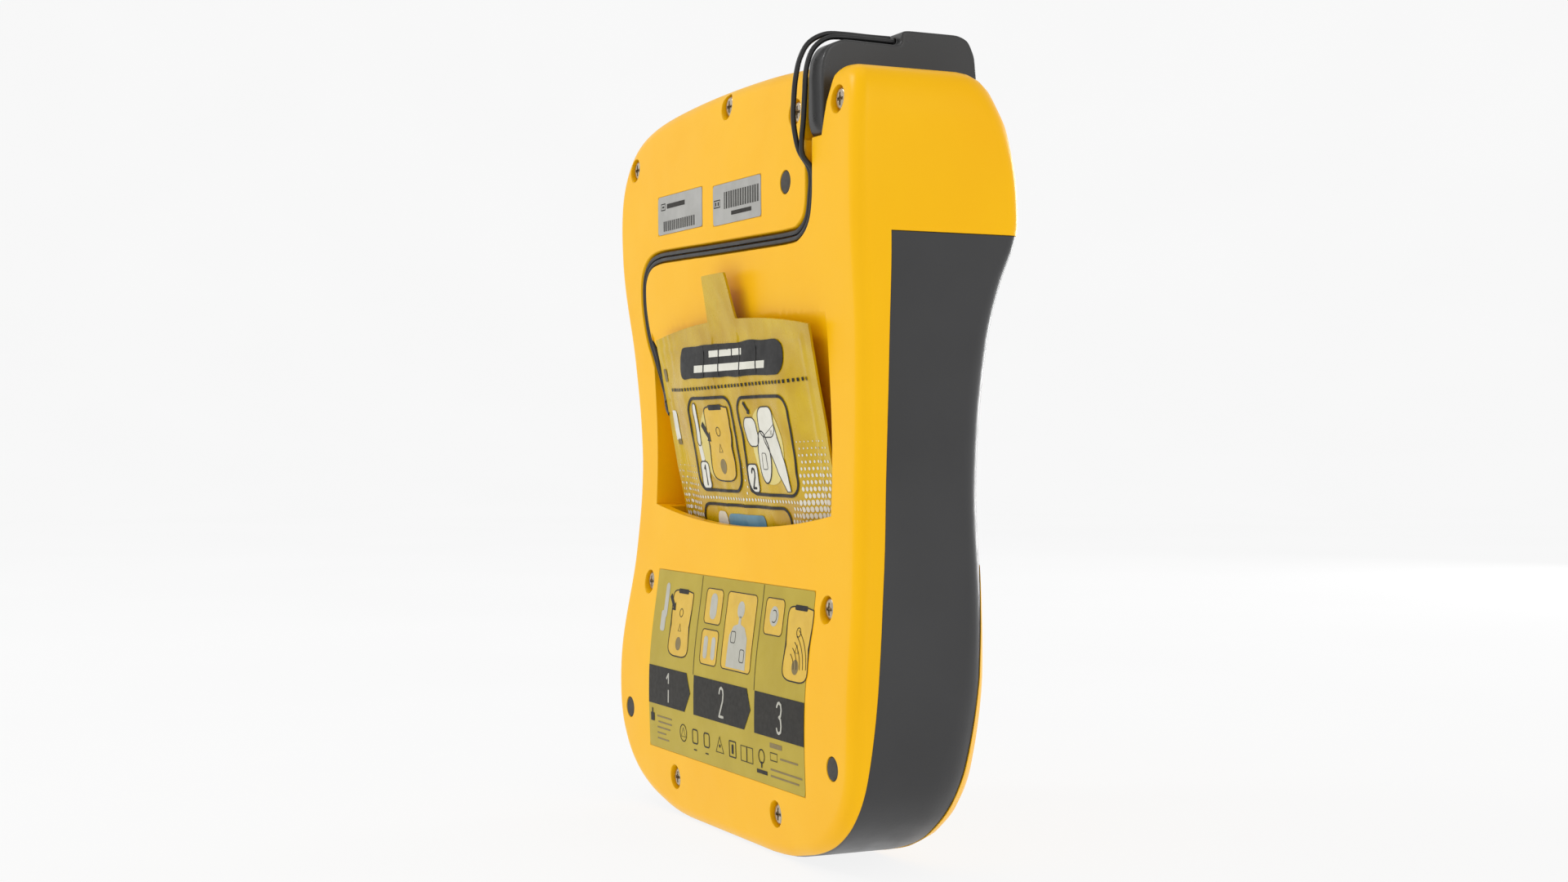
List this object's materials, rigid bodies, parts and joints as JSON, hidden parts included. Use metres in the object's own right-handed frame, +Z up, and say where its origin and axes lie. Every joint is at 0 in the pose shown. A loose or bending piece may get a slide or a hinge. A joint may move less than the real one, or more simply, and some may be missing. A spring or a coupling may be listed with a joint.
{
  "type": "automated external defibrillator",
  "caption": "Hand-held defibrillator standing on its foot: waisted case with side grips, rear pads pocket and pouch, hooked pads plug and lead, top battery, front display and buttons.",
  "frame": {"origin": "middle of the flat under the case, on the surface it stands on", "axes": "+Z up along the case's height, +X across the case, -Y towards the front with the controls, +Y towards the back with the pads pocket"},
  "size_m": [0.185, 0.0632, 0.2496],
  "materials": {
    "yellow_moulding": "satin moulded plastic",
    "dark_moulding": "satin soft-touch moulding",
    "black_moulding": "matt",
    "rubber": "matt",
    "plated_steel": "plated",
    "copper_winding": "varnished copper winding",
    "green_key": "satin",
    "orange_key": "satin",
    "red_latch": "satin",
    "clear_lens": "clear lens",
    "display_glass": "clear window",
    "circuit_board": "coated laminate",
    "instruction_film": "printed film",
    "data_film": "printed film",
    "pouch_foil": "laminated foil bag"
  },
  "bodies": {
    "case": {"back_shell": "yellow_moulding", "side_grip": "dark_moulding", "front_cover": "yellow_moulding", "case_seal": "black_moulding", "display_bezel": "black_moulding", "display_window": "display_glass", "display_module": "plated_steel", "softkey_board": "circuit_board", "status_light": "clear_lens", "microphone": "dark_moulding", "speaker_grille": "dark_moulding", "speaker": "plated_steel", "battery_bay": "dark_moulding", "battery_connector": "plated_steel", "pads_socket": "dark_moulding", "lead_outer_run": "black_moulding", "lead_inner_run": "black_moulding", "screw_top_right": "plated_steel", "screw_top_middle": "plated_steel", "screw_beside_plug": "plated_steel", "screw_top_left": "plated_steel", "screw_waist_right": "plated_steel", "screw_waist_left": "plated_steel", "screw_foot_right": "plated_steel", "screw_foot_left": "plated_steel", "foot_upper": "rubber", "foot_lower_right": "rubber", "foot_lower_left": "rubber", "instruction_label": "instruction_film", "data_label_right": "data_film", "data_label_left": "data_film", "main_board": "circuit_board", "relay_module": "black_moulding", "processor_shield": "plated_steel", "high_voltage_inductor": "copper_winding", "backup_cell": "plated_steel", "buzzer": "black_moulding", "energy_capacitor": "dark_moulding", "charging_transformer": "copper_winding"},
    "on_off": {"on_off_button": "green_key"},
    "shock": {"shock_button": "orange_key"},
    "key_up": {"softkey_up": "dark_moulding"},
    "key_enter": {"softkey_enter": "dark_moulding"},
    "key_down": {"softkey_down": "dark_moulding"},
    "battery": {"battery_cap": "dark_moulding", "battery_pack": "black_moulding"},
    "latch": {"battery_latch": "red_latch"},
    "plug": {"pads_plug": "dark_moulding", "plug_pin_front": "plated_steel", "plug_pin_rear": "plated_steel", "lead_outer_loop": "black_moulding", "lead_inner_loop": "black_moulding"},
    "pouch": {"pads_pouch": "pouch_foil"}
  },
  "joints": [
    {"name": "on_off_press", "type": "slide", "parent": "case", "child": "on_off", "axis": [0, 1, 0], "range_m": [0, 0.0012], "stiffness_N_per_m": 2500},
    {"name": "shock_press", "type": "slide", "parent": "case", "child": "shock", "axis": [0, 1, 0], "range_m": [0, 0.0012], "stiffness_N_per_m": 2500},
    {"name": "key_up_press", "type": "slide", "parent": "case", "child": "key_up", "axis": [0, 1, 0], "range_m": [0, 0.0008], "stiffness_N_per_m": 2000},
    {"name": "key_enter_press", "type": "slide", "parent": "case", "child": "key_enter", "axis": [0, 1, 0], "range_m": [0, 0.0008], "stiffness_N_per_m": 2000},
    {"name": "key_down_press", "type": "slide", "parent": "case", "child": "key_down", "axis": [0, 1, 0], "range_m": [0, 0.0008], "stiffness_N_per_m": 2000},
    {"name": "battery_lift", "type": "slide", "parent": "case", "child": "battery", "axis": [0, 0, 1], "range_m": [0, 0.085]},
    {"name": "latch_press", "type": "slide", "parent": "battery", "child": "latch", "axis": [0, 0, -1], "range_m": [0, 0.002], "stiffness_N_per_m": 1500},
    {"name": "plug_pull", "type": "slide", "parent": "case", "child": "plug", "axis": [0, 0, 1], "range_m": [0, 0.014]},
    {"name": "pouch_lift", "type": "slide", "parent": "case", "child": "pouch", "axis": [-0.0579, 0.2106, 0.9759], "range_m": [0, 0.06]}
  ]
}
